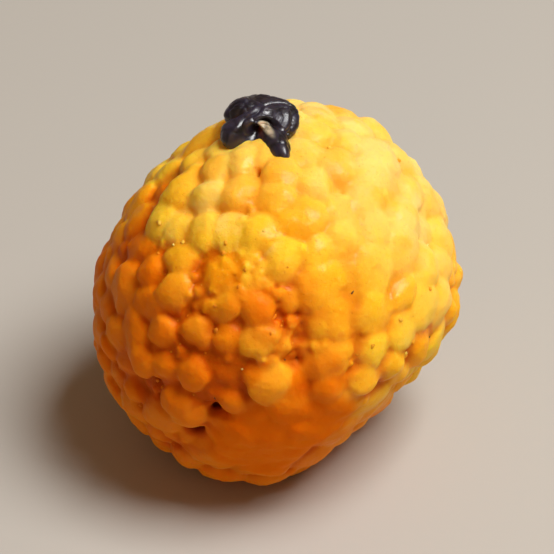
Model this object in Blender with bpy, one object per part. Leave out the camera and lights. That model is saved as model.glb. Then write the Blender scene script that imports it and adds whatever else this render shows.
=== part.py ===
"""A boondi ladoo: fried gram-flour pearls pressed by hand into a ball, with a raisin set in its top.

Metres, +Z up. The origin is the middle of the flat spot that the ball rests on, and -Y is its front.
Run it with: blender --background --python part.py
"""

import math

import bmesh
import bpy
import numpy as np
from mathutils import Matrix, noise

# The ball, measured to the tops of its pearls. Rolled by hand, it is longer one way than the others.
BALL_RADIUS = 0.0220
LONG_TOWARD = (0.54, 0.52, 0.67)
LONG_STRETCH = 1.09
FOOT_DEPTH = 0.0013  # how much of the ball its resting spot takes off
FLOOR_DEPTH = 0.0017  # mashed pearls fill the creases to this far below the tops

# The pearls that show. Each is a dome, wider than it is high.
PEARL_COUNT = 295
PEARL_RADIUS = 0.00282
PEARL_SIZES = (0.74, 1.2)  # the smallest and the largest, as shares of that radius
PEARL_RISE = (0.55, 0.85)  # a dome's height as a share of its own radius
PEARL_UNEVEN = 0.00035  # how far one stands above or below its neighbours
SUNK_SHARE, SUNK_DEPTH = 0.05, 0.0011  # pearls that were pushed in, and how far
SEED = 11

# Where a palm pressed the ball: towards, half angle in degrees, depth, and how much the pearls are smeared.
PALM_PRESSES = (
    ((-0.02, -0.95, -0.31), 31, 0.0004, 0.95),
    ((0.27, -0.95, -0.16), 20, 0.0002, 0.9),
    ((0.70, -0.05, 0.70), 40, 0.0003, 0.4),
    ((0.66, -0.52, -0.54), 40, 0.0026, 0.2),
    ((-0.72, 0.42, 0.56), 42, 0.0008, 0.2),
    ((0.10, -0.91, 0.40), 12, 0.0014, 0.4),
    ((-0.50, 0.82, 0.10), 26, 0.0010, 0.75),
    ((0.45, 0.70, -0.50), 24, 0.0008, 0.5),
    ((0.0, 0.0, -1.0), 34, 0.0, 0.45),
)
SMEAR_DEPTH = 0.0003  # how far below the tops a fully smeared place lies

# The raisin: an uneven bean, curled like a hook, which lies in the ball's top and leans to the front.
RAISIN_HALF = (0.0045, 0.0038, 0.0023)  # half its length, width and thickness, without its lobes
RAISIN_TOWARD = (-0.115, 0.15, 1.0)
RAISIN_SUNK = -0.0002  # how far its middle lies below the tops of the pearls
RAISIN_LEAN = 12  # degrees, to the front
RAISIN_UNEVEN = 0.12  # how far its outline wanders, as a share of its size
RAISIN_ROOM = 0.0048  # pearls stand at least this far from its middle
CLEARANCE = 0.0003  # between the raisin and its socket

# Where its outline stands out or draws in: towards, half angle in degrees, and how far out. Here and below,
# axes are the raisin's own: length, width, up.
LOBES = (
    ((0.42, -0.90, 0.15), 28, 0.0036),  # the tip of the hook
    ((-0.83, -0.56, 0.05), 42, 0.0012),
    ((-0.35, -0.85, 0.25), 34, -0.0020),  # the bay between them
    ((-0.75, 0.45, 0.45), 45, 0.0006),
    ((0.20, 0.80, 0.55), 50, -0.0004),
)

# The hollow inside its curl, which runs out to the bay: towards, half angle in degrees, and depth.
HOLLOWS = (
    ((0.12, -0.76, 0.64), 34, 0.0005),
    ((-0.10, -0.93, 0.36), 36, 0.0009),
)

# Its deep folds, each part of a ring: the ring's axis, its angle from it, where the fold is deepest, how far
# round it reaches, its half width in degrees, and its depth.
FOLDS = (
    ((0.08, -0.90, 0.43), 33, (0.42, -0.45, 0.79), 50, 10, 0.0010),
    ((-0.60, 0.70, 0.30), 48, (-0.85, -0.10, 0.45), 60, 13, 0.0005),
    ((0.70, 0.10, -0.60), 60, (0.95, -0.25, 0.30), 55, 13, 0.0004),
)
CREASE_SIZES = (0.0048, 0.0022, 0.0026)  # size of the small creases along its length, width and height
CREASE_WIDTH, CREASE_DEPTH = 0.16, 0.00022

FINE_LEVEL = 7  # the ball is raised on a sphere split this finely
KEPT_FACES = 0.093  # and then thinned to this share of its faces
RAISIN_LEVEL, RAISIN_KEPT = 6, 0.08  # the same for the raisin
SOCKET_LEVEL, SOCKET_KEPT = 5, 0.3  # and for its socket
RELAX_ROUNDS = 80
BLENDED = 0.6  # the share of a press's half angle over which it fades out


def smooth_step(share):
    share = np.clip(share, 0, 1)
    return share * share * (3 - 2 * share)


def unit(vectors):
    return vectors / np.linalg.norm(vectors, axis=-1, keepdims=True)


def degrees_from(toward, dirs):
    return np.degrees(np.arccos(np.clip(dirs @ unit(np.array(toward)), -1, 1)))


def raisin_middle():
    """The raisin's middle, from the middle of the ball before it is stretched."""
    return unit(np.array(RAISIN_TOWARD)) * (BALL_RADIUS - RAISIN_SUNK)


def pressed(dirs):
    """How deep a palm pressed the ball along each direction, and how much it smeared the pearls there."""
    depth, smear = np.zeros(len(dirs)), np.zeros(len(dirs))
    for toward, half_angle, deep, smeared in PALM_PRESSES:
        share = smooth_step((half_angle - degrees_from(toward, dirs)) / (BLENDED * half_angle))
        depth += deep * share
        smear = np.maximum(smear, smeared * share)
    return depth, smear


def spread_pearls(radii, rng):
    """Even directions for the pearls: a spiral, shaken, then relaxed until pearls and raisin just crowd."""
    k = np.arange(PEARL_COUNT)
    z = 1 - 2 * (k + 0.5) / PEARL_COUNT
    turn = k * math.pi * (3 - math.sqrt(5))
    ring = np.sqrt(1 - z * z)
    dirs = np.stack((ring * np.cos(turn), ring * np.sin(turn), z), axis=1)
    dirs = unit(dirs + rng.normal(0, 0.05, dirs.shape))
    room = (radii[:, None] + radii) / BALL_RADIUS
    raisin = raisin_middle() / BALL_RADIUS
    for _ in range(RELAX_ROUNDS):
        apart = dirs[:, None] - dirs
        distance = np.linalg.norm(apart, axis=2) + np.eye(PEARL_COUNT)
        push = np.clip(room - distance, 0, None) * (1 - np.eye(PEARL_COUNT))
        dirs = unit(dirs + 0.2 * (apart * (push / distance)[..., None]).sum(axis=1))
        away = dirs - raisin
        reach = np.linalg.norm(away, axis=1, keepdims=True)
        dirs = unit(dirs + 0.2 * away * np.clip(RAISIN_ROOM / BALL_RADIUS / reach - 1, 0, None))
    return dirs


def lay_pearls():
    """(directions, radii, dome heights, distances of their tops from the ball's middle)."""
    rng = np.random.default_rng(SEED)
    radii = PEARL_RADIUS * rng.uniform(*PEARL_SIZES, PEARL_COUNT)
    rises = radii * rng.uniform(*PEARL_RISE, PEARL_COUNT)
    tops = BALL_RADIUS + rng.uniform(-1, 1, PEARL_COUNT) * PEARL_UNEVEN
    tops -= SUNK_DEPTH * (rng.random(PEARL_COUNT) < SUNK_SHARE)
    dirs = spread_pearls(radii, rng)
    return dirs, radii, rises, tops - pressed(dirs)[0]


def surface(dirs, pearls):
    """The distance of the ball's surface from its middle along each direction."""
    pearl_dirs, radii, rises, tops = pearls
    off = np.sqrt(np.clip(2 - 2 * dirs @ pearl_dirs.T, 0, None)) * BALL_RADIUS / radii
    domes = np.where(off < 1, tops - rises * (1 - np.sqrt(np.clip(1 - off**2, 0, 1))), 0)
    depth, smear = pressed(dirs)
    smooth = BALL_RADIUS - depth
    rough = np.maximum(domes.max(axis=1), smooth - FLOOR_DEPTH)
    return rough + (smooth - SMEAR_DEPTH - rough) * smear


def in_place(points):
    """Stretches the ball along its long axis, and lifts it so that its foot is cut at the origin's height."""
    along = unit(np.array(LONG_TOWARD))
    stretched = points + (LONG_STRETCH - 1) * np.outer(points @ along, along)
    return stretched + np.array((0, 0, BALL_RADIUS - FOOT_DEPTH))


def material(name, colour, roughness):
    made = bpy.data.materials.new(name)
    made.use_nodes = True
    shader = made.node_tree.nodes["Principled BSDF"]
    shader.inputs["Base Color"].default_value = (*colour, 1)
    shader.inputs["Roughness"].default_value = roughness
    shader.inputs["Metallic"].default_value = 0
    return made


def add_object(name, bm, look=None):
    """Turns a bmesh into a named object with its faces pointing out."""
    bmesh.ops.recalc_face_normals(bm, faces=bm.faces)
    mesh = bpy.data.meshes.new(name)
    bm.to_mesh(mesh)
    bm.free()
    mesh.shade_smooth()
    if look:
        mesh.materials.append(look)
    made = bpy.data.objects.new(name, mesh)
    bpy.context.scene.collection.objects.link(made)
    return made


def move_vertices(bm, places):
    for vertex, place in zip(bm.verts, places):
        vertex.co = place


def round_mesh(level):
    """A sphere to shape, and its vertices' directions."""
    bm = bmesh.new()
    bmesh.ops.create_icosphere(bm, subdivisions=level, radius=1)
    return bm, unit(np.array([vertex.co for vertex in bm.verts]))


def thin_out(shape, kept):
    """Takes faces away where the surface bends least."""
    thin = shape.modifiers.new("fewer faces", "DECIMATE")
    thin.ratio = kept


def add_ball():
    """The pressed ball: a fine sphere raised into the pearls' domes."""
    bm, dirs = round_mesh(FINE_LEVEL)
    move_vertices(bm, in_place(dirs * surface(dirs, lay_pearls())[:, None]))
    ball = add_object("boondi_ball", bm, material("boondi", (0.86, 0.47, 0.04), 0.42))
    thin_out(ball, KEPT_FACES)
    return ball


def cut_away(ball, name, bm):
    """Takes a shape out of the ball, and returns that shape."""
    cutter = add_object(name, bm)
    cutter.hide_render = True
    cutter.display_type = "WIRE"
    cut = ball.modifiers.new(name, "BOOLEAN")
    cut.operation = "DIFFERENCE"
    cut.solver = "EXACT"
    cut.object = cutter
    return cutter


def cut_foot(ball):
    """Cuts the flat spot that the ball rests on."""
    bm = bmesh.new()
    bmesh.ops.create_cube(bm, size=2 * BALL_RADIUS)
    bmesh.ops.translate(bm, vec=(0, 0, -BALL_RADIUS), verts=bm.verts)
    cut_away(ball, "foot_cutter", bm)


def noise_at(places):
    return np.array([noise.noise(place) for place in places])


def raisin_outline(dirs):
    """How far the raisin's skin lies from its middle along each direction, before it is folded."""
    even = 1 / np.linalg.norm(dirs / np.array(RAISIN_HALF), axis=1)
    reach = even * (1 + RAISIN_UNEVEN * noise_at(1.3 * dirs + 4))
    for toward, half_angle, out in LOBES:
        reach += out * smooth_step(1 - degrees_from(toward, dirs) / half_angle)
    return reach


def raisin_folds(dirs, reach):
    """How deep the skin is folded in along each direction."""
    depth = np.zeros(len(dirs))
    for toward, half_angle, deep in HOLLOWS:
        depth = np.maximum(depth, deep * smooth_step(1 - degrees_from(toward, dirs) / half_angle))
    for axis, ring, deepest, extent, width, deep in FOLDS:
        valley = np.clip(1 - np.abs(degrees_from(axis, dirs) - ring) / width, 0, 1) ** 1.5
        depth += deep * valley * smooth_step(1.6 * (1 - degrees_from(deepest, dirs) / extent))
    rough = np.abs(noise_at(dirs * reach[:, None] / np.array(CREASE_SIZES)))
    return depth + CREASE_DEPTH * np.clip(1 - rough / CREASE_WIDTH, 0, 1) ** 1.5


def raisin_in_place(dirs, reach):
    """Points at the given distances from the raisin's middle, as it lies in the ball."""
    lean = Matrix.Rotation(math.radians(RAISIN_LEAN), 3, "X")
    return in_place(raisin_middle() + (dirs * reach[:, None]) @ np.array(lean.transposed()))


def add_raisin():
    bm, dirs = round_mesh(RAISIN_LEVEL)
    reach = raisin_outline(dirs)
    move_vertices(bm, raisin_in_place(dirs, reach - raisin_folds(dirs, reach)))
    raisin = add_object("raisin", bm, material("raisin", (0.02, 0.012, 0.012), 0.35))
    thin_out(raisin, RAISIN_KEPT)


def cut_socket(ball):
    """Cuts the raisin's socket: its outline without the folds, and wider by the clearance."""
    bm, dirs = round_mesh(SOCKET_LEVEL)
    move_vertices(bm, raisin_in_place(dirs, raisin_outline(dirs) + CLEARANCE))
    thin_out(cut_away(ball, "raisin_socket_cutter", bm), SOCKET_KEPT)


def main():
    for old in list(bpy.data.objects):
        bpy.data.objects.remove(old)
    ball = add_ball()
    cut_foot(ball)
    cut_socket(ball)
    add_raisin()


main()
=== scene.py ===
# A boondi ladoo: fried gram-flour pearls bound with syrup and pressed by hand into a ball.
# A raisin sits in its top.
# Metres, +Z up. The origin is the middle of the flat spot that it rests on, and -Y is its front.
# Each dictionary holds what one piece is made from. Directions point out from that piece's own middle.
import math
import bmesh
import bpy
import numpy as np
from mathutils import Matrix, Vector, noise


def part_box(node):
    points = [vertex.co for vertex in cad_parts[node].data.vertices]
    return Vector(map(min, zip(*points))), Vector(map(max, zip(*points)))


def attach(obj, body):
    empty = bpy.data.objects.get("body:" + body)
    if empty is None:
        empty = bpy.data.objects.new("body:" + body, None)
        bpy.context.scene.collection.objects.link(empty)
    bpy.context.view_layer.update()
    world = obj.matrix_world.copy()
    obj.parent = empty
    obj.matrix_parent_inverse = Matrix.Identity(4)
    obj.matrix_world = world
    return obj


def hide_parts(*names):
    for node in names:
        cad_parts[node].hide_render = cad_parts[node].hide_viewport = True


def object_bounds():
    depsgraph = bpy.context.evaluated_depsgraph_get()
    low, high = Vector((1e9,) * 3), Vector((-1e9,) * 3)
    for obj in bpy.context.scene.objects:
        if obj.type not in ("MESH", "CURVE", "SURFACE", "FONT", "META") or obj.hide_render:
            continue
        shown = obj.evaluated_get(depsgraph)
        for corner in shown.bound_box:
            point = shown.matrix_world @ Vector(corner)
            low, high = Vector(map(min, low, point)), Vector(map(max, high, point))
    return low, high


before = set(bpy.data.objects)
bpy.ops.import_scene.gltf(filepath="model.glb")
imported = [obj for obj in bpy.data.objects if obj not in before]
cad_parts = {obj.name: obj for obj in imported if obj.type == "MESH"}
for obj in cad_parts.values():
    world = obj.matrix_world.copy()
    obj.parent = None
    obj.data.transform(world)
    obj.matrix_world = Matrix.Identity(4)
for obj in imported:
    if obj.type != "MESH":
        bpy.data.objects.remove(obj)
cadLow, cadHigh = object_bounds()
ballLow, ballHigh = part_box("boondi_ball")
print("frame loaded")


def unit(vectors):
    return vectors / np.linalg.norm(vectors, axis=-1, keepdims=True)


def smoothStep(share):
    share = np.clip(share, 0, 1)
    return share * share * (3 - 2 * share)


def degreesFrom(toward, dirs):
    return np.degrees(np.arccos(np.clip(dirs @ unit(np.array(toward)), -1, 1)))


def spot(toward, halfAngle, dirs, fullness=1):  # 1 in its middle, fading to 0; fullness widens the middle
    return smoothStep(fullness * (1 - degreesFrom(toward, dirs) / halfAngle))


def placesOf(bm):
    return np.array([vertex.co for vertex in bm.verts])


def moveTo(bm, places):
    for vertex, place in zip(bm.verts, places):
        vertex.co = place


def noiseAt(places, size, seed):  # each seed reads another part of the same noise
    shift = Vector((seed * 7.31, seed * 3.17, seed * 5.53))
    return np.array([noise.noise(Vector(place) / size + shift) for place in places])


def meshFrom(bm, name):
    mesh = bpy.data.meshes.new(name)
    bm.to_mesh(mesh)
    bm.free()
    return mesh


def rgb(red, green, blue):  # display values of 0 to 255, made linear
    shares = [value / 255 for value in (red, green, blue)]
    linear = [share / 12.92 if share <= 0.04045 else ((share + 0.055) / 1.055) ** 2.4 for share in shares]
    return (*linear, 1)


# The studio's values come first, because some pearls are placed by how they are seen from its camera.
studio = {
    "floorHalf": 1.2,
    "floorRoughness": 0.6,
    "elevation": 38,  # of the camera, in degrees
    "lens": 250,  # millimetres
    "sensor": 36,  # millimetres
    "shown": 0.068,  # metres that the view spans at the ball
    "lampDistance": 0.7,
    "keyToward": (0.41, -0.12, 0.90),
    "keySize": 0.34,
    "keyPower": 6.25,  # watts
    "keyColour": (1, 1, 1),
    "fillToward": (-0.1, -0.9, 0.6),
    "fillSize": 0.5,
    "fillPower": 0.35,
    "fillColour": (1.0, 0.55, 0.24),
    "sky": 0.17,
    "skyColour": (1.0, 0.68, 0.42, 1),
    "floorColour": (0.47, 0.445, 0.40, 1),
}

# The ball's form, which the pearls, the crumbs and the raisin all follow.
ball = {
    "longToward": (0.54, 0.52, 0.67),  # rolled by hand, it is longer this way
    "longStretch": 1.09,
    "footDepth": 0.0013,  # what its resting spot takes off the round
    "creaseDepth": 0.0018,  # from the tops of the pearls down to the paste between them
    "smearDepth": 0.00035,  # how far below the tops a smeared place lies
    "fade": 0.6,  # share of a press's half angle over which it fades out
    # where a palm or a thumb pressed it: towards, half angle in degrees, depth, how smeared its pearls are
    "presses": (
        ((-0.02, -0.95, -0.31), 31, 0.0004, 0.97),  # the thumb's smooth patch, low in its front
        ((0.27, -0.95, -0.16), 20, 0.0002, 0.9),
        ((0.70, -0.05, 0.70), 46, 0.0003, 0.5),  # the mashed shoulder on its right
        ((0.66, -0.52, -0.54), 40, 0.0026, 0.2),  # flatter low on its right
        ((-0.72, 0.42, 0.56), 42, 0.0008, 0.2),
        ((0.49, -0.79, 0.37), 26, 0.0001, 0.5),
        ((0.36, -0.50, 0.79), 30, 0.0001, 0.5),
        ((0.80, -0.42, 0.42), 28, 0.0001, 0.5),
        ((-0.45, -0.84, 0.31), 34, 0.0, 0.35),
        ((0.85, -0.05, 0.52), 17, 0.0012, 0.3),
        ((-0.50, 0.82, 0.10), 26, 0.0010, 0.75),  # fingers at its back
        ((0.45, 0.70, -0.50), 24, 0.0008, 0.5),
        ((0.0, 0.0, -1.0), 34, 0.0, 0.45),  # where it rests
    ),
    # where pearls broke or came away: towards, half width and height in degrees, room clear of pearls, depth
    "breaks": (
        ((0.12, -0.84, 0.53), 8, 8, 0.0012, 0.0012),  # these three are the rough crevice in its front
        ((0.15, -0.90, 0.40), 9, 9, 0.0016, 0.0016),
        ((0.13, -0.96, 0.25), 9, 8, 0.0015, 0.0019),
        ((-0.44, -0.86, -0.29), 9, 8, 0.0018, 0.0038),  # two deep pits beside the smooth patch
        ((-0.33, -0.94, -0.09), 7, 5, 0.0013, 0.0034),
        ((-0.41, -0.57, 0.71), 3, 3, 0.0005, 0.0010),
        ((0.35, -0.28, 0.89), 4, 4, 0.0008, 0.0019),
        ((0.78, -0.48, 0.40), 4, 5, 0.0008, 0.0019),
        ((-0.62, 0.70, -0.25), 6, 5, 0.0012, 0.0021),
        ((0.30, 0.93, 0.28), 5, 4, 0.0010, 0.0021),
    ),
    "pitShade": 137500,  # times a break's depth squared, this is added to how deep a crease it is coloured as
    "fullness": 1.3,  # over 1, the middles of breaks and soaked spots are as deep as they get
    "patchy": 0.5,  # how unevenly it is mashed from place to place, over what size, and which noise
    "patchSize": 0.008,
    "patchSeed": 30,
    "paintedShadeToward": (-0.58, -0.42, -0.70),  # painted shade deepens the colour towards this side, and painted light pales the far side
    # where more of the syrup and painted shade is put, or less: towards, half angle in degrees, how much more
    "syrupAndShadeSpots": (
        ((0.05, -0.80, 0.59), 22, 0.4),
        ((0.27, -0.94, 0.20), 13, 0.4),
        ((-0.86, -0.40, 0.30), 28, 0.35),
        ((-0.45, -0.33, 0.83), 26, -0.25),
    ),
}
longWay = unit(np.array(ball["longToward"]))
widening = math.sqrt(1 + (ball["longStretch"] ** 2 - 1) * longWay[0] ** 2)
ballRadius = (ballHigh.x - ballLow.x) / 2 / widening  # the radius that gives the stretched ball its width
ballMiddle = np.array((0, 0, ballRadius - ball["footDepth"]))


def inPlace(points):  # from round the middle of an even ball to their place in the stretched one
    return points + (ball["longStretch"] - 1) * np.outer(points @ longWay, longWay) + ballMiddle


def brokenAt(dirs):  # how deep the breaks are along each direction
    broken = np.zeros(len(dirs))
    for toward, halfWidth, halfHeight, _, deep in ball["breaks"]:
        toward = unit(np.array(toward))
        side = unit(np.cross((0, 0, 1), toward))
        across = np.degrees(np.arcsin(dirs @ side)) / halfWidth
        along = np.degrees(np.arcsin(dirs @ np.cross(toward, side))) / halfHeight
        share = smoothStep(ball["fullness"] * (1 - np.hypot(across, along))) * (dirs @ toward > 0)
        broken = np.maximum(broken, deep * share)
    return broken


def pressedAt(dirs):  # how deep it is pressed or broken along each direction, and how smeared it is there
    depth = brokenAt(dirs)
    smear = np.zeros(len(dirs))
    for toward, halfAngle, deep, smeared in ball["presses"]:
        share = smoothStep((halfAngle - degreesFrom(toward, dirs)) / (ball["fade"] * halfAngle))
        depth += deep * share
        smear = np.maximum(smear, smeared * share)
    patches = ball["patchy"] * noiseAt(dirs * ballRadius, ball["patchSize"], ball["patchSeed"])
    return depth, np.clip(smear + patches * (1 - smear), 0, 1)


class Wire:  # a shader socket that can be used in sums
    def __init__(self, look, socket):
        self.look = look
        self.socket = socket

    def worked(self, operation, first, second):
        return self.look.add("ShaderNodeMath", {"operation": operation}, {0: first, 1: second})

    def __add__(self, other):
        return self.worked("ADD", self, other)

    def __radd__(self, other):
        return self.worked("ADD", other, self)

    def __sub__(self, other):
        return self.worked("SUBTRACT", self, other)

    def __rsub__(self, other):
        return self.worked("SUBTRACT", other, self)

    def __mul__(self, other):
        return self.worked("MULTIPLY", self, other)

    def __rmul__(self, other):
        return self.worked("MULTIPLY", other, self)


class Look:  # a material and the few kinds of node that this sweet needs
    def __init__(self, name, constants):
        self.material = bpy.data.materials.new(name)
        self.material.use_nodes = True
        self.nodes = self.material.node_tree.nodes
        self.links = self.material.node_tree.links
        self.shader = self.nodes["Principled BSDF"]
        self.feed(self.shader, constants)
        self.place = self.add("ShaderNodeTexCoord", {}, {}, "Object")

    def feed(self, node, inputs):
        for name, value in inputs.items():
            if isinstance(value, Wire):
                self.links.new(value.socket, node.inputs[name])
            else:
                node.inputs[name].default_value = value

    def add(self, kind, settings, inputs, output=0):
        node = self.nodes.new(kind)
        for name, value in settings.items():
            setattr(node, name, value)
        self.feed(node, inputs)
        return Wire(self, node.outputs[output])

    def noise(self, size, detail=2, roughness=0.5):  # size in metres
        inputs = {"Vector": self.place, "Scale": 1 / size, "Detail": detail, "Roughness": roughness}
        return self.add("ShaderNodeTexNoise", {}, inputs)

    def attribute(self, name):
        return self.add("ShaderNodeAttribute", {"attribute_name": name}, {}, "Fac")

    def ramp(self, value, low, high, start=0, end=1):  # value from low to high becomes start to end
        inputs = {"Value": value, "From Min": low, "From Max": high, "To Min": start, "To Max": end}
        return self.add("ShaderNodeMapRange", {"interpolation_type": "SMOOTHSTEP"}, inputs)

    def mix(self, share, first, second):  # two colours; 0, 6, 7 and 2 are a colour mix's own sockets
        return self.add("ShaderNodeMix", {"data_type": "RGBA"}, {0: share, 6: first, 7: second}, 2)

    def bump(self, height, distance, strength):  # distance in metres
        inputs = {"Height": height, "Distance": distance, "Strength": strength}
        return self.add("ShaderNodeBump", {}, inputs)


def addPiece(name, mesh, look, slot, *replaced):
    piece = bpy.data.objects.new(name, mesh)
    bpy.context.scene.collection.objects.link(piece)
    mesh.materials.clear()
    mesh.materials.append(look.material)
    mesh.shade_smooth()
    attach(piece, "root")
    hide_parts(*replaced)
    print(name, len(mesh.polygons), "faces")


def setValues(mesh, name, values):  # one number for each vertex, which a material reads
    mesh.attributes.new(name, "FLOAT", "POINT").data.foreach_set("value", np.asarray(values, np.float32))


def shaped(mesh, kind, settings):  # the mesh as one modifier leaves it
    holder = bpy.data.objects.new("holder", mesh)
    bpy.context.scene.collection.objects.link(holder)
    modifier = holder.modifiers.new(kind, kind)
    for name, value in settings.items():
        setattr(modifier, name, value)
    made = bpy.data.meshes.new_from_object(holder.evaluated_get(bpy.context.evaluated_depsgraph_get()))
    bpy.data.objects.remove(holder)
    bpy.data.meshes.remove(mesh)
    return made


def lumpyShapes(kinds, uneven, lumpSize, seed, addRound):  # round meshes, each uneven in its own way
    shapes = []
    for kind in range(kinds):
        bm = bmesh.new()
        addRound(bm)
        places = placesOf(bm)
        moveTo(bm, places * (1 + uneven * noiseAt(places, lumpSize, seed + kind))[:, None])
        shapes.append(meshFrom(bm, "shape"))
    return shapes


def addCopy(bm, shape, matrix):
    copy = shape.copy()
    copy.transform(matrix)
    bm.from_mesh(copy)
    bpy.data.meshes.remove(copy)


pearls = {
    "count": 300,
    "radius": 0.00282,
    "sizes": (0.7, 1.24),  # the smallest and the largest, as shares of that radius
    "rise": (0.55, 0.85),  # a dome's height as a share of its own radius
    "uneven": 0.00035,  # how far their tops stand out or in
    "sunkShare": 0.05,  # this share of them is pressed in deeper
    "sunkDepth": 0.0011,
    "shake": 0.05,
    "relaxRounds": 80,
    "relaxStep": 0.2,  # share of an overlap that each round takes away
    "clearance": 0.8,  # share of its radius by which a pearl stays clear of a gap
    "raisinToward": (-0.10, 0.13, 1.0),  # round here there is room for the raisin
    "raisinRoom": 0.0022,
    "mashedWider": 0.4,  # how much wider a pearl is pressed where it is fully mashed
    "brokenShrink": 220,  # how much smaller the pieces in a break are, for each metre of its depth
    # those that show singly in its front: metres right and up of its middle as seen, radius, tone
    "singles": (
        (-0.0023, 0.0018, 0.0021, 0.15),
        (-0.0022, -0.0022, 0.0020, 0.6),
        (0.0013, -0.0007, 0.0022, 0.4),
        (-0.0022, -0.0057, 0.0025, 0.0),
        (-0.0021, -0.0103, 0.0021, 0.9),
        (-0.0056, 0.0075, 0.0027, 0.0),
        (-0.0145, 0.0089, 0.0028, 0.15),
        (-0.0086, 0.0119, 0.0027, 0.0),
        (-0.0102, 0.0170, 0.0029, 0.3),
        (-0.0126, 0.0001, 0.0024, 0.5),
        (-0.0154, 0.0026, 0.0021, 1.0),
        (-0.0065, -0.0011, 0.0026, 0.7),
        (-0.0141, -0.0049, 0.0022, 0.3),
        (-0.0098, -0.0047, 0.0020, 0.4),
        (-0.0104, -0.0099, 0.0024, 0.6),
        (-0.0062, -0.0098, 0.0021, 0.4),
        (-0.0054, -0.0138, 0.0016, 0.5),
        (-0.0166, -0.0085, 0.0022, 0.5),
        (-0.0060, -0.0057, 0.0019, 0.9),
        (-0.0138, -0.0097, 0.0024, 0.5),
        (-0.0200, -0.0051, 0.0028, 0.1),
        (-0.0124, -0.0137, 0.0025, 0.6),
        (0.0122, -0.0068, 0.0025, 0.0),
        (0.0110, -0.0107, 0.0024, 0.35),
        (0.0076, -0.0072, 0.0020, 0.3),
        (0.0066, -0.0117, 0.0024, 0.9),
        (0.0055, 0.0047, 0.0029, 0.0),
        (0.0042, 0.0205, 0.0031, 0.2),
        (0.0094, 0.0195, 0.0031, 0.25),
        (-0.0044, 0.0163, 0.0026, 0.3),
    ),
    "toneBlend": 0.00012,  # where two domes come this close in height, their tones run together
    "toneBatches": 20,  # the tones are worked out in this many parts, to spare memory
    "toneSoaks": 0.25,  # how much more syrup the darkest pearls hold than the palest
    "seed": 11,
    # how many kinds of lumpy round, how uneven, the size of the lumps, and which noise
    "pearlShapes": (9, 0.17, 0.8, 40),
    "bitShapes": (9, 0.5, 0.7, 60),
    "longer": 0.05,  # how much longer one is than wide
    "tilt": 10,  # how far one leans, in degrees
    # broken pieces among them: how many, towards, spread, least and most radius, least and most height
    "bits": (
        (560, (0, 0, 0), 1, (0.0006, 0.0014), (-0.0015, -0.0004)),  # all round
        (350, (0, 0, 0), 1, (0.00035, 0.0007), (-0.0014, -0.0006)),
        (60, (0.16, -0.91, 0.39), 0.12, (0.0005, 0.0012), (-0.0016, -0.0004)),  # in the crevice
        (120, (0.18, -0.90, 0.39), 0.13, (0.0003, 0.0007), (-0.0012, -0.0002)),
        (110, (-0.18, -0.68, 0.71), 0.13, (0.0004, 0.0008), (-0.0008, 0.0000)),  # the rough patch above it
        (60, (-0.42, -0.78, 0.46), 0.16, (0.0008, 0.0013), (-0.0016, -0.0010)),  # deep between pearls
    ),
    "bitRise": (0.6, 1),  # a bit's height as a share of its radius
    "pasteFineness": 6,  # how often the paste's first round mesh is subdivided
    "voxel": 0.00025,  # the cell in which pearls, bits and paste melt together
    "smoothing": 2,  # rounds
    "lumps": ((0.0040, 0.00030), (0.0017, 0.00015), (0.0006, 0.00006)),  # sizes, and how far out of true
    "triangles": 194000,  # in the finished skin
    "colours": {
        "light": rgb(255, 198, 48),
        "deep": rgb(250, 168, 18),
        "palestAndLit": rgb(254, 212, 112),
        "driedAndLit": rgb(246, 212, 120),
        "speckle": rgb(255, 220, 100),
        "soaked": rgb(230, 104, 1),
        "creaseShade": rgb(230, 158, 36),
        "wetCreaseShade": rgb(208, 86, 2),
        "creaseFloorShade": rgb(200, 110, 10),
        "wetCreaseFloorShade": rgb(160, 56, 0),
        "pitShadow": rgb(124, 34, 0),
        "rubbedAndShaded": rgb(234, 110, 0),
        "pores": rgb(200, 92, 4),
    },
}


def evenDirs(count):  # a spiral from pole to pole, each pearl a golden angle further round
    order = np.arange(count)
    height = 1 - 2 * (order + 0.5) / count
    turn = order * math.pi * (3 - math.sqrt(5))
    ring = np.sqrt(1 - height * height)
    return np.stack((ring * np.cos(turn), ring * np.sin(turn), height), axis=1)


def seenAt(right, up):  # the direction of the spot that shows this far right and up of the ball's middle
    rise = math.radians(studio["elevation"])
    upward = np.array((0, math.sin(rise), math.cos(rise)))
    points = np.array(((right, 0, 0) + up * upward, (0, -math.cos(rise), math.sin(rise))))
    # the line of sight in the ball as it is before the stretch, and where it comes out of the round
    start, step = points - (1 - 1 / ball["longStretch"]) * np.outer(points @ longWay, longWay)
    ahead = start @ step
    reach = math.sqrt(ahead**2 - (step @ step) * (start @ start - ballRadius**2)) - ahead
    return unit(start + reach / (step @ step) * step)


def relaxed(dirs, radii, held):  # pushes pearls off each other, the raisin and the breaks
    gaps = [(unit(np.array(pearls["raisinToward"])), pearls["raisinRoom"])]
    gaps += [(unit(np.array(toward)), gap) for toward, _, _, gap, _ in ball["breaks"]]
    room = (radii[:, None] + radii) / ballRadius
    itself = np.eye(len(dirs))
    for _ in range(pearls["relaxRounds"]):
        apart = dirs[:, None] - dirs
        distance = np.linalg.norm(apart, axis=2) + itself
        push = np.clip(room - distance, 0, None) * (1 - itself)
        dirs = unit(dirs + pearls["relaxStep"] * (apart * (push / distance)[..., None]).sum(axis=1))
        for middle, gap in gaps:
            away = dirs - middle
            reach = np.linalg.norm(away, axis=1) * ballRadius
            outward = np.clip((gap + pearls["clearance"] * radii) / reach - 1, 0, None)
            dirs = unit(dirs + away * outward[:, None])
        dirs[list(held)] = list(held.values())
    return dirs


def holdSingles(dirs):  # the pearl nearest to each single's spot takes that spot
    held = {}
    for right, up, _, _ in pearls["singles"]:
        toward = seenAt(right, up)
        nearness = dirs @ toward
        nearness[list(held)] = -1
        held[int(nearness.argmax())] = toward
    return held


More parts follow.
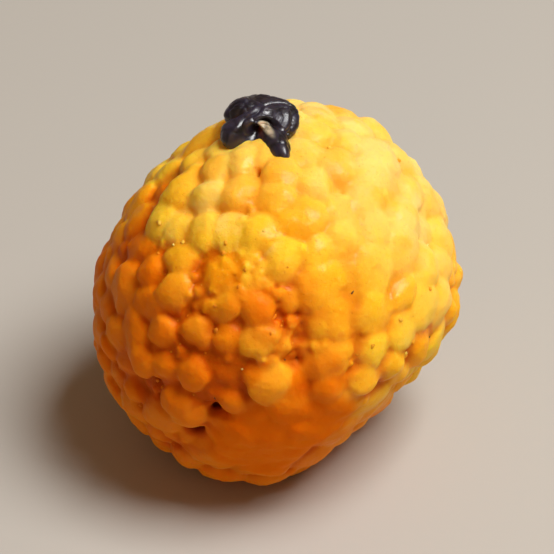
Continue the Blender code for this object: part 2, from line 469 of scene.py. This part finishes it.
def layPearls():  # their directions, radii, dome heights and the distances of their tops; and their tones
    rng = np.random.default_rng(pearls["seed"])
    count = pearls["count"]
    dirs = evenDirs(count)
    dirs = unit(dirs + rng.normal(0, pearls["shake"], dirs.shape))
    wider = 1 + pearls["mashedWider"] * pressedAt(dirs)[1]
    radii = pearls["radius"] * rng.uniform(*pearls["sizes"], count) * wider
    tones = rng.random(count)
    held = holdSingles(dirs)
    radii[list(held)] = [radius for _, _, radius, _ in pearls["singles"]]
    tones[list(held)] = [tone for _, _, _, tone in pearls["singles"]]
    dirs = relaxed(dirs, radii, held)
    radii *= 1 - pearls["brokenShrink"] * brokenAt(dirs)
    depth, smear = pressedAt(dirs)
    standOut = rng.uniform(-1, 1, count) * pearls["uneven"] * (1 - smear)
    tops = ballRadius + standOut - depth - ball["smearDepth"] * smear
    tops -= pearls["sunkDepth"] * (rng.random(count) < pearls["sunkShare"])
    return (dirs, radii, radii * rng.uniform(*pearls["rise"], count) / wider, tops), tones


def layBits(rng):  # as the pearls: directions, radii, heights and tops
    towards, sizes, heights = [], [], []
    for count, toward, spread, radiusRange, heightRange in pearls["bits"]:
        towards.append(unit(np.array(toward) + rng.normal(0, spread, (count, 3))))
        sizes.append(rng.uniform(*radiusRange, count))
        heights.append(rng.uniform(*heightRange, count))
    dirs = np.concatenate(towards)
    radii = np.concatenate(sizes)
    rises = radii * rng.uniform(*pearls["bitRise"], len(dirs))
    return dirs, radii, rises, ballRadius + np.concatenate(heights) - pressedAt(dirs)[0]


def pasteRadius(dirs):  # the mashed paste that fills between the pearls
    depth, smear = pressedAt(dirs)
    below = ball["creaseDepth"] + (ball["smearDepth"] - ball["creaseDepth"]) * smear
    return ballRadius - depth - below


def addRounds(bm, rounds, shapes, rng):  # each laid pearl or bit, lumped, tilted and spun its own way
    for toward, radius, rise, top in zip(*rounds):
        turned = Vector(toward).to_track_quat("Z", "Y").to_matrix().to_4x4()
        spin = Matrix.Rotation(rng.uniform(0, 2 * math.pi), 4, "Z")
        tilt = Matrix.Rotation(math.radians(rng.normal(0, pearls["tilt"])), 4, "X")
        longer = 1 + abs(rng.normal(0, pearls["longer"]))
        sized = Matrix.Diagonal((radius * longer, radius / longer, rise, 1))
        place = Matrix.Translation(Vector(toward) * (top - rise)) @ turned @ spin @ tilt @ sized
        addCopy(bm, shapes[rng.integers(len(shapes))], place @ Matrix.Rotation(rng.uniform(0, 6), 4, "Z"))


def tonesAt(dirs, rounds, pearlTones):  # the tone of the pearl in each direction, blended where two meet
    towards, radii, rises, tops = rounds
    tones = []
    for part in np.array_split(dirs, pearls["toneBatches"]):
        off = np.sqrt(np.clip(2 - 2 * part @ towards.T, 0, None)) * ballRadius / radii
        domes = tops - rises * (1 - np.sqrt(np.clip(1 - off**2, 0, 1))) - np.clip(off - 1, 0, None) * radii
        shares = np.exp((domes - domes.max(axis=1, keepdims=True)) / pearls["toneBlend"])
        tones.append(shares @ pearlTones / shares.sum(axis=1))
    return np.concatenate(tones)


def pearlRound(bm):
    bmesh.ops.create_icosphere(bm, subdivisions=3, radius=1)


def bitRound(bm):
    bmesh.ops.create_icosphere(bm, subdivisions=2, radius=1)


def pressMass(laid):  # pearls, bits and paste melted into one skin, then lumped, thinned and stretched
    rng = np.random.default_rng(pearls["seed"] + 1)
    bm = bmesh.new()
    bmesh.ops.create_icosphere(bm, subdivisions=pearls["pasteFineness"], radius=1)
    dirs = unit(placesOf(bm))
    moveTo(bm, dirs * pasteRadius(dirs)[:, None])
    addRounds(bm, laid, lumpyShapes(*pearls["pearlShapes"], pearlRound), rng)
    addRounds(bm, layBits(rng), lumpyShapes(*pearls["bitShapes"], bitRound), rng)
    melted = shaped(meshFrom(bm, "raw"), "REMESH", {"mode": "VOXEL", "voxel_size": pearls["voxel"]})
    bm = bmesh.new()
    bm.from_mesh(melted)
    axes = {"use_axis_x": True, "use_axis_y": True, "use_axis_z": True}
    for _ in range(pearls["smoothing"]):
        bmesh.ops.smooth_vert(bm, verts=bm.verts, factor=0.5, **axes)
    bm.normal_update()
    places = placesOf(bm)
    normals = np.array([vertex.normal for vertex in bm.verts])
    out = sum(deep * noiseAt(places, size, seed) for seed, (size, deep) in enumerate(pearls["lumps"]))
    moveTo(bm, places + normals * out[:, None])
    fine = meshFrom(bm, "fine")
    kept = pearls["triangles"] / (2 * len(fine.polygons))
    thinned = shaped(fine, "DECIMATE", {"ratio": min(1, kept)})
    bm = bmesh.new()
    bm.from_mesh(thinned)
    places = placesOf(bm)
    placed = inPlace(places)
    placed[:, 2] = np.maximum(placed[:, 2], 0)  # it rests flat
    moveTo(bm, placed)
    return meshFrom(bm, "pressed_pearls"), unit(places), np.linalg.norm(places, axis=1)


def boondiLook():
    colours = pearls["colours"]
    look = Look("boondi", {
        "IOR": 1.45,
        "Specular IOR Level": 0.08,
        "Specular Tint": (1.0, 0.72, 0.35, 1),
        "Coat Roughness": 0.32,
        "Coat Tint": (1.0, 0.9, 0.7, 1),
        "Subsurface Weight": 0.7,
        "Subsurface Radius": (1.0, 0.34, 0.07),
        "Subsurface Scale": 0.0013,
    })
    tone = look.attribute("tone")
    creaseShade = look.attribute("creaseShade")
    smear = look.attribute("smear")
    cloudy = look.noise(0.0022, 3)
    speckle = look.noise(0.0004, 3, 0.6)
    pores = look.noise(0.00026, 2, 0.6)
    # each pearl holds its own share of syrup, and it spreads unevenly; the attribute adds painted shade
    # towards one side and painted light on the other
    syrupAndShade = look.attribute("syrupAndShade") + look.noise(0.01, 2) * 0.3 + (tone - 0.5) * pearls["toneSoaks"] - 0.15

    shade = look.ramp(tone * 0.75 + cloudy * 0.5, 0.2, 1.05)
    colour = look.mix(shade, colours["light"], colours["deep"])
    # the palest pearls are paler still on the lit side: their own tone, with painted light
    palestAndLit = look.ramp(tone, 0.2, 0.0) * look.ramp(syrupAndShade, -0.05, -0.25) * look.ramp(cloudy, 0.35, 0.62)
    colour = look.mix(palestAndLit * 0.5, colour, colours["palestAndLit"])
    # painted light: paler in patches on the lit side
    driedAndLit = look.ramp(syrupAndShade, -0.3, -1.0) * look.ramp(look.noise(0.0045, 3), 0.33, 0.57, 0.35, 1)
    colour = look.mix(driedAndLit * 0.9, colour, colours["driedAndLit"])
    colour = look.mix(look.ramp(speckle, 0.56, 0.70) * 0.2, colour, colours["speckle"])
    # painted shade: deep orange towards the shaded side, and where more syrup is
    colour = look.mix(look.ramp(syrupAndShade, -0.22, 0.50) * 0.78, colour, colours["soaked"])

    # painted shade in creases: stronger and redder towards the shaded side and where more syrup is, and
    # darkest on the floors of breaks
    soaked = look.ramp(syrupAndShade, -0.9, 0.1, 0.35, 0.8)
    wetterAndShaded = look.ramp(syrupAndShade, -0.75, -0.1)
    creaseEdgeShade = look.mix(wetterAndShaded, colours["creaseShade"], colours["wetCreaseShade"])
    creaseFloorShade = look.mix(wetterAndShaded, colours["creaseFloorShade"], colours["wetCreaseFloorShade"])
    colour = look.mix(look.ramp(creaseShade, 0.15, 0.6) * soaked, colour, creaseEdgeShade)
    colour = look.mix(look.ramp(creaseShade, 0.5, 1.1) * soaked, colour, creaseFloorShade)
    colour = look.mix(look.ramp(creaseShade, 1.2, 2.0) * 0.75, colour, colours["pitShadow"])

    # the smooth patch is deeper orange where pressed, with painted shade on its shaded side
    rubbedAndShaded = look.ramp(smear, 0.45, 0.88) * look.ramp(syrupAndShade, -0.15, 0.15)
    colour = look.mix(rubbedAndShaded * 0.85, colour, colours["rubbedAndShaded"])
    colour = look.mix(look.ramp(pores, 0.64, 0.74) * 0.35, colour, colours["pores"])

    bumps = look.noise(0.0009, 3) * 0.55 + speckle * 0.35 - look.ramp(pores, 0.60, 0.72) * 0.3
    wet = look.ramp(look.noise(0.0032), 0.4, 0.65, 0.0, 0.32) * look.ramp(syrupAndShade, -0.2, 0.5, 1, 0.2)
    look.feed(look.shader, {
        "Base Color": colour,
        "Roughness": look.ramp(cloudy, 0.3, 0.7, 0.44, 0.60) + rubbedAndShaded * 0.25,
        "Coat Weight": wet * look.ramp(rubbedAndShaded, 1, 0),
        "Normal": look.bump(bumps, 0.00018, 0.8),
    })
    return look


laid, pearlTones = layPearls()
print("pearls laid:", len(pearlTones))
mass, massDirs, massReach = pressMass(laid)
print("pressed into one skin:", len(massDirs), "points")
massDepth, massSmear = pressedAt(massDirs)
massCrease = (ballRadius - massDepth - massReach) / ball["creaseDepth"]
# painted shade towards one side and painted light on the other, with more or less at the listed spots
massSyrupAndShade = massDirs @ unit(np.array(ball["paintedShadeToward"]))
for toward, halfAngle, more in ball["syrupAndShadeSpots"]:
    massSyrupAndShade += more * spot(toward, halfAngle, massDirs, ball["fullness"])
massTones = tonesAt(massDirs, laid, pearlTones)
setValues(mass, "tone", massTones + (0.5 - massTones) * massSmear)  # smeared pearls lose their own tone
# painted shade follows this: how deep each crease or break lies
setValues(mass, "creaseShade", massCrease + ball["pitShade"] * brokenAt(massDirs) ** 2)
setValues(mass, "smear", massSmear)
setValues(mass, "syrupAndShade", massSyrupAndShade)
addPiece("pressed_pearls", mass, boondiLook(), "boondi", "boondi_ball")


crumbs = {
    "seed": 21,
    # how many, and least and most half width
    # then, as shares of that width, least and most thickness, and how far its middle lies out of the skin
    "crumb": (120, (0.00012, 0.00045), (0.5, 0.9), -0.25),
    "grain": (12, (0.00010, 0.00019), (0.7, 1), 0.4),  # sugar that crystallised out of the syrup
    "speck": (8, (0.00011, 0.00026), (0.3, 0.6), 0.3),  # crushed cardamom
    "narrow": (0.6, 1),  # their width as a share of their length
    "tumble": 0.5,  # how far they tip, in radians
    "crumbShapes": (8, 0.7, 0.7, 80),  # how many kinds, how uneven, the size of the lumps, and which noise
    "grainBevel": 0.3,  # on a cube of 2
    "onTops": 0.03,  # how likely one lies on a pearl's top, against about 1 in a crease
    "creaseFrom": 0.25,  # the share of a full crease from which they gather
    "creaseSpan": 0.6,  # and how much deeper it is where they gather most
    "offFloor": 0.001,  # none lie lower than this
    # where they gathered: towards, spread in degrees, how many times as many
    "gathered": (
        ((-0.23, -0.67, 0.71), 16, 5),
        ((0.15, -0.91, 0.39), 9, 6),
        ((0.35, 0.50, 0.75), 20, 3),
    ),
    "colours": {
        "pale": rgb(254, 200, 80),
        "fried": rgb(244, 156, 28),
        "browned": rgb(204, 112, 20),
        "soaked": rgb(234, 112, 3),
        "mottled": rgb(238, 150, 40),
        "sugar": rgb(255, 210, 120),
        "stainedSugar": rgb(250, 186, 80),
        "cardamom": rgb(74, 46, 24),
        "paleCardamom": rgb(132, 92, 44),
        "cardamomHusk": rgb(58, 34, 16),
    },
}


def chooseSpots(count, rng):  # points of the ball's skin for small things to lie on
    likely = crumbs["onTops"] + smoothStep((massCrease - crumbs["creaseFrom"]) / crumbs["creaseSpan"])
    for toward, spread, more in crumbs["gathered"]:
        likely *= 1 + more * np.exp(-(degreesFrom(toward, massDirs) / spread) ** 2)
    likely *= (1 - massSmear) ** 2
    likely *= np.array([vertex.co.z > crumbs["offFloor"] for vertex in mass.vertices])
    return rng.choice(len(massDirs), count, replace=False, p=likely / likely.sum())


def scatter(name, kind, shapes, rng):  # one joined mesh, in which each small thing has a tone, and the ball's syrup and painted shade at its spot
    count, sizes, thickness, out = crumbs[kind]
    bm = bmesh.new()
    tones, shadesAndSoaks = [], []
    for index in chooseSpots(count, rng):
        skin = mass.vertices[int(index)]
        size = rng.uniform(*sizes)
        turned = skin.normal.to_track_quat("Z", "Y").to_matrix().to_4x4()
        spin = Matrix.Rotation(rng.uniform(0, 2 * math.pi), 4, "Z")
        tip = Matrix.Rotation(rng.normal(0, crumbs["tumble"]), 4, "X")
        narrow = rng.uniform(*crumbs["narrow"])
        sized = Matrix.Diagonal((size, size * narrow, size * rng.uniform(*thickness), 1))
        shape = shapes[rng.integers(len(shapes))]
        place = Matrix.Translation(skin.co + skin.normal * size * out)
        addCopy(bm, shape, place @ turned @ (spin @ tip) @ sized)
        tones += [rng.random()] * len(shape.vertices)
        shadesAndSoaks += [massSyrupAndShade[index]] * len(shape.vertices)
    mesh = meshFrom(bm, name)
    setValues(mesh, "tone", tones)
    setValues(mesh, "syrupAndShade", shadesAndSoaks)
    return mesh


def crumbRound(bm):  # a few dozen faces, sorted because the operator leaves them in another order each time
    bmesh.ops.create_uvsphere(bm, u_segments=7, v_segments=5, radius=1)
    aslant = Vector((0.31, 0.53, 0.79))  # no two corners or faces lie as far along this way
    bm.verts.sort(key=lambda vertex: aslant.dot(vertex.co))
    bm.faces.sort(key=lambda face: aslant.dot(face.calc_center_median()))


def grainShape():
    bm = bmesh.new()
    bmesh.ops.create_cube(bm, size=2)
    rounding = {"affect": "EDGES", "segments": 1, "profile": 0.5, "material": -1}
    bmesh.ops.bevel(bm, geom=bm.edges[:], offset=crumbs["grainBevel"], **rounding)
    return meshFrom(bm, "grain")


def crumbLook():
    colours = crumbs["colours"]
    look = Look("crumb", {
        "Specular IOR Level": 0.12,
        "Subsurface Weight": 0.5,
        "Subsurface Radius": (1.0, 0.4, 0.1),
        "Subsurface Scale": 0.001,
    })
    tone = look.attribute("tone")
    colour = look.mix(look.ramp(tone, 0.0, 0.6), colours["pale"], colours["fried"])
    colour = look.mix(look.ramp(tone, 0.88, 0.98), colour, colours["browned"])
    # painted shade: deeper orange on the ball's shaded side, as the ball is
    colour = look.mix(look.ramp(look.attribute("syrupAndShade"), -0.3, 0.3) * 0.9, colour, colours["soaked"])
    look.feed(look.shader, {
        "Base Color": look.mix(look.ramp(look.noise(0.0003), 0.4, 0.6) * 0.4, colour, colours["mottled"]),
        "Roughness": look.ramp(look.noise(0.0005), 0.3, 0.7, 0.5, 0.7),
        "Normal": look.bump(look.noise(0.00012), 0.00005, 0.7),
    })
    return look


def sugarLook():
    colours = crumbs["colours"]
    look = Look("sugar", {
        "IOR": 1.5,
        "Subsurface Weight": 0.8,
        "Subsurface Radius": (1, 0.8, 0.5),
        "Subsurface Scale": 0.0006,
    })
    look.feed(look.shader, {
        "Base Color": look.mix(look.attribute("tone"), colours["sugar"], colours["stainedSugar"]),
        "Roughness": look.ramp(look.noise(0.0002), 0.3, 0.7, 0.12, 0.35),
    })
    return look


def cardamomLook():
    colours = crumbs["colours"]
    look = Look("cardamom", {"Specular IOR Level": 0.3})
    colour = look.mix(look.attribute("tone"), colours["cardamom"], colours["paleCardamom"])
    husk = look.ramp(look.noise(0.00015), 0.4, 0.6) * 0.5
    look.feed(look.shader, {
        "Base Color": look.mix(husk, colour, colours["cardamomHusk"]),
        "Roughness": look.ramp(look.noise(0.0003), 0.3, 0.7, 0.45, 0.65),
        "Normal": look.bump(look.noise(0.00012), 0.00006, 0.8),
    })
    return look


rng = np.random.default_rng(crumbs["seed"])
crumbShapes = lumpyShapes(*crumbs["crumbShapes"], crumbRound)
addPiece("boondi_crumbs", scatter("boondi_crumbs", "crumb", crumbShapes, rng), crumbLook(), "boondi")
addPiece("sugar_grains", scatter("sugar_grains", "grain", [grainShape()], rng), sugarLook(), "boondi")
addPiece("cardamom_specks", scatter("cardamom_specks", "speck", crumbShapes, rng), cardamomLook(), "boondi")


raisin = {
    "half": (0.0045, 0.0038, 0.0023),  # half its length, width and thickness
    "toward": (-0.115, 0.15, 1.0),  # from the ball's middle
    "raised": 0.0002,  # how far its middle lies above the tops of the pearls
    "lean": 12,  # degrees, to the front
    "uneven": 0.12,  # how far its outline wanders, as a share of its size
    "unevenScale": 1.3,  # how finely, and which part of the noise it follows
    "unevenShift": 4,
    "fullness": 1.6,  # over 1, the middles of folds and of the pale lip are as strong as they get
    "sharpness": 1.5,  # over 1, folds and wrinkles narrow towards the bottom
    # it is curled like a hook: towards, half angle, how far its skin stands out there
    "lobes": (
        ((0.42, -0.90, 0.15), 28, 0.0036),  # the tip of the hook
        ((-0.83, -0.56, 0.05), 42, 0.0012),
        ((-0.35, -0.85, 0.25), 34, -0.0020),  # the bay between them
        ((-0.75, 0.45, 0.45), 45, 0.0006),
        ((0.20, 0.80, 0.55), 50, -0.0004),
    ),
    # the hollow inside the curl, which runs out to the bay: towards, half angle, depth
    "hollows": (
        ((0.12, -0.76, 0.64), 34, 0.0005),
        ((-0.10, -0.93, 0.36), 36, 0.0009),
    ),
    # where the inner side of the curl shows, pale, with a painted highlight: towards, half angle
    "lipHighlightAt": (
        ((0.02, -0.69, 0.72), 14),
        ((0.18, -0.76, 0.62), 16),
        ((0.26, -0.80, 0.54), 12),
    ),
    # deep folds, each part of a ring: axis, degrees from it, deepest towards, reach, half width, depth
    "folds": (
        ((0.08, -0.90, 0.43), 33, (0.42, -0.45, 0.79), 50, 9, 0.0010),
        ((-0.60, 0.70, 0.30), 48, (-0.85, -0.10, 0.45), 60, 12, 0.0005),
        ((0.70, 0.10, -0.60), 60, (0.95, -0.25, 0.30), 55, 12, 0.0004),
    ),
    # sizes along, across and up, how wide, depth, and which noise
    "wrinkles": (
        ((0.0048, 0.0022, 0.0026), 0.16, 0.00022, 0),
        ((0.0016, 0.0014, 0.0016), 0.28, 0.00011, 2),
    ),
    "grain": 0.00002,  # the height and size of its skin's grain, and which noise
    "grainSize": 0.0003,
    "grainSeed": 3,
    "deepFold": 0.001,  # a fold this deep is coloured as fully folded
    "fineness": 7,  # how often its first round mesh is subdivided
    "colours": {
        "dark": rgb(12, 7, 10),
        "bloom": rgb(29, 22, 43),
        "dustAndSheen": rgb(92, 78, 96),
        "fold": rgb(38, 14, 8),
        "hollow": rgb(112, 48, 14),
        "lipAndHighlight": rgb(214, 198, 164),
    },
}
raisinMiddle = unit(np.array(raisin["toward"])) * (ballRadius + raisin["raised"])


def raisinHollow(dirs):  # how deep the inside of the curl lies along each direction from its middle
    depth = np.zeros(len(dirs))
    for toward, halfAngle, deep in raisin["hollows"]:
        depth = np.maximum(depth, deep * spot(toward, halfAngle, dirs))
    return depth


def raisinReach(dirs):  # how far its skin lies from its middle, before it is folded and wrinkled
    even = 1 / np.linalg.norm(dirs / np.array(raisin["half"]), axis=1)
    wander = noiseAt(raisin["unevenScale"] * dirs + raisin["unevenShift"], 1, 0)
    reach = even * (1 + raisin["uneven"] * wander)
    for toward, halfAngle, out in raisin["lobes"]:
        reach += out * spot(toward, halfAngle, dirs)
    return reach


def valley(off, halfWidth):  # 1 along the bottom of a fold, 0 past its sides
    return np.clip(1 - np.abs(off) / halfWidth, 0, 1) ** raisin["sharpness"]


def raisinFolds(dirs, places):  # how deep its hollow, folds, wrinkles and grain go
    depth = raisinHollow(dirs)
    for axis, ring, deepest, reach, halfWidth, deep in raisin["folds"]:
        folded = valley(degreesFrom(axis, dirs) - ring, halfWidth)
        depth += deep * folded * spot(deepest, reach, dirs, raisin["fullness"])
    for sizes, halfWidth, deep, seed in raisin["wrinkles"]:
        depth += deep * valley(noiseAt(places / np.array(sizes), 1, seed), halfWidth)
    return depth + raisin["grain"] * noiseAt(places, raisin["grainSize"], raisin["grainSeed"])


def raisinPlaced(points):  # leant, and set into the ball's top
    lean = Matrix.Rotation(math.radians(raisin["lean"]), 3, "X")
    return inPlace(raisinMiddle + points @ np.array(lean.transposed()))


def raisinLook():
    colours = raisin["colours"]
    look = Look("raisin", {
        "IOR": 1.5,
        "Coat Roughness": 0.24,
        "Sheen Weight": 0.05,
        "Sheen Tint": (0.62, 0.58, 1.0, 1),
        "Subsurface Radius": (1.0, 0.3, 0.1),
        "Subsurface Scale": 0.0006,
        "Subsurface Weight": 0.3,
    })
    fold = look.attribute("fold")
    hollow = look.attribute("hollow")
    bloom = look.noise(0.0016, 3)
    colour = look.mix(look.ramp(bloom, 0.35, 0.7), colours["dark"], colours["bloom"])
    colour = look.mix(look.ramp(fold, 0.10, 0.0) * 0.12, colour, colours["dustAndSheen"])  # dust along its ridges, with painted sheen
    colour = look.mix(look.ramp(fold, 0.3, 0.9) * 0.8, colour, colours["fold"])
    # painted light: a brown-red glow in the hollow, as of light shining through the flesh
    colour = look.mix(look.ramp(hollow, 0.55, 0.95) * 0.8, colour, colours["hollow"])
    # the pale inner side of the curl, with a painted highlight
    pale = look.attribute("pale") * look.ramp(look.noise(0.0007, 3), 0.3, 0.55, 0.35, 0.85)
    colour = look.mix(pale, colour, colours["lipAndHighlight"])
    look.feed(look.shader, {
        "Base Color": colour,
        "Roughness": look.ramp(bloom, 0.3, 0.7, 0.30, 0.46),
        "Coat Weight": look.ramp(look.noise(0.002), 0.4, 0.6, 0.25, 0.7),
        "Normal": look.bump(look.noise(0.0004, 3), 0.00008, 0.6),
    })
    return look


def foldRaisin():
    bm = bmesh.new()
    bmesh.ops.create_icosphere(bm, subdivisions=raisin["fineness"], radius=1)
    dirs = unit(placesOf(bm))
    reaches = raisinReach(dirs)
    depths = raisinFolds(dirs, dirs * reaches[:, None])
    moveTo(bm, raisinPlaced(dirs * (reaches - depths)[:, None]))
    mesh = meshFrom(bm, "folded_raisin")
    hollows = raisinHollow(dirs)
    pale = np.zeros(len(dirs))
    for toward, halfAngle in raisin["lipHighlightAt"]:
        pale = np.maximum(pale, spot(toward, halfAngle, dirs, raisin["fullness"]))
    setValues(mesh, "fold", (depths - hollows) / raisin["deepFold"])
    setValues(mesh, "hollow", hollows / hollows.max())
    setValues(mesh, "pale", pale)
    return mesh


addPiece("folded_raisin", foldRaisin(), raisinLook(), "raisin", "raisin")


middle = (cadLow + cadHigh) / 2


def lookFrom(place):  # the turn that faces the middle of the sweet
    return (middle - place).to_track_quat("-Z", "Y")


def addLight(name, toward, size, power, colour):
    lamp = bpy.data.lights.new(name, "AREA")
    lamp.size = size
    lamp.energy = power
    lamp.color = colour
    light = bpy.data.objects.new(name, lamp)
    light.location = middle + Vector(toward).normalized() * studio["lampDistance"]
    light.rotation_mode = "QUATERNION"
    light.rotation_quaternion = lookFrom(light.location)
    bpy.context.scene.collection.objects.link(light)


def addFloor():
    bm = bmesh.new()
    bmesh.ops.create_grid(bm, x_segments=1, y_segments=1, size=studio["floorHalf"])
    floor = bpy.data.objects.new("floor", meshFrom(bm, "floor"))
    bpy.context.scene.collection.objects.link(floor)
    look = Look("pale floor", {"Base Color": studio["floorColour"], "Roughness": studio["floorRoughness"]})
    floor.data.materials.append(look.material)


def addCamera():
    lens = bpy.data.cameras.new("camera")
    lens.lens = studio["lens"]
    lens.sensor_width = studio["sensor"]
    camera = bpy.data.objects.new("camera", lens)
    distance = studio["shown"] * studio["lens"] / studio["sensor"]
    up = math.radians(studio["elevation"])
    camera.location = middle + Vector((0, -math.cos(up), math.sin(up))) * distance
    camera.rotation_mode = "QUATERNION"
    camera.rotation_quaternion = lookFrom(camera.location)
    bpy.context.scene.collection.objects.link(camera)
    bpy.context.scene.camera = camera


def addSky():
    world = bpy.data.worlds.new("studio")
    world.use_nodes = True
    sky = world.node_tree.nodes["Background"]
    sky.inputs["Strength"].default_value = studio["sky"]
    sky.inputs["Color"].default_value = studio["skyColour"]
    bpy.context.scene.world = world


addFloor()
addLight("key", studio["keyToward"], studio["keySize"], studio["keyPower"], studio["keyColour"])
addLight("fill", studio["fillToward"], studio["fillSize"], studio["fillPower"], studio["fillColour"])
addCamera()
addSky()
bpy.context.scene.view_settings.view_transform = "Standard"
print("studio ready")
